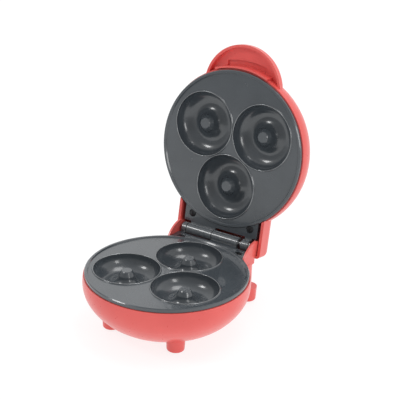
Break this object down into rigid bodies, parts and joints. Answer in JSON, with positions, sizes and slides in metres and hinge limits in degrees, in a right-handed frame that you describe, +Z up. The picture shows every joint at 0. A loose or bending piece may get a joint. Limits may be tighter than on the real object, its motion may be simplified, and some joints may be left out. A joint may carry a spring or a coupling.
{
  "type": "mini donut maker",
  "caption": "Clamshell countertop cooker with a hinged lid, ring-shaped baking wells in both cast plates, internal heaters and a hooded front handle.",
  "frame": {"origin": "on the table under the middle of the box round the whole part, with the lid open on its stop", "axes": "+Z up, +Y to the back where the hinge is, +X to the right for someone facing the handle side, along the hinge axis"},
  "size_m": [0.131, 0.1946, 0.202],
  "materials": {
    "base_housing": "satin",
    "lid_housing": "satin",
    "lower_plate": "glossy non-stick coating",
    "upper_plate": "glossy non-stick coating",
    "lower_heater": "dull",
    "upper_heater": "dull",
    "lower_heater_clamp": "plain",
    "upper_heater_clamp": "plain",
    "lower_shield_spacer": "plain",
    "upper_shield_spacer": "plain",
    "lower_heat_shield": "mill",
    "upper_heat_shield": "mill",
    "stack_washer": "plain",
    "stack_screw": "zinc plated",
    "centre_screw": "zinc plated",
    "thermostat": "moulded",
    "thermostat_screws": "zinc plated",
    "thermal_fuse": "woven sleeve",
    "fuse_strap": "plain",
    "terminal_block": "moulded",
    "foot_pads": "matte",
    "cord_gland": "matte",
    "hinge_pin": "bright",
    "pin_clip": "bright",
    "lower_plate_screws": "dark plated",
    "upper_plate_screws": "dark plated",
    "ready_lens": "clear tinted",
    "power_lens": "clear tinted",
    "lamps": "clear"
  },
  "bodies": {
    "base": {"base_housing": "base_housing", "lower_plate": "lower_plate", "lower_heater": "lower_heater", "lower_heater_clamp": "lower_heater_clamp", "lower_shield_spacer": "lower_shield_spacer", "lower_heat_shield": "lower_heat_shield", "centre_screw": "centre_screw", "thermostat": "thermostat", "thermostat_screws": "thermostat_screws", "thermal_fuse": "thermal_fuse", "fuse_strap": "fuse_strap", "terminal_block": "terminal_block", "foot_pads": "foot_pads", "cord_gland": "cord_gland", "hinge_pin": "hinge_pin", "pin_clip": "pin_clip", "lower_plate_screws": "lower_plate_screws"},
    "lid": {"lid_housing": "lid_housing", "upper_plate": "upper_plate", "upper_heater": "upper_heater", "upper_heater_clamp": "upper_heater_clamp", "upper_shield_spacer": "upper_shield_spacer", "upper_heat_shield": "upper_heat_shield", "stack_washer": "stack_washer", "stack_screw": "stack_screw", "upper_plate_screws": "upper_plate_screws", "ready_lens": "ready_lens", "power_lens": "power_lens", "lamps": "lamps"}
  },
  "joints": [
    {"name": "lid_hinge", "type": "hinge", "parent": "base", "child": "lid", "pos_m": [0, 0.0425, 0.0468], "axis": [1, 0, 0], "range_deg": [0, 99.7]}
  ]
}
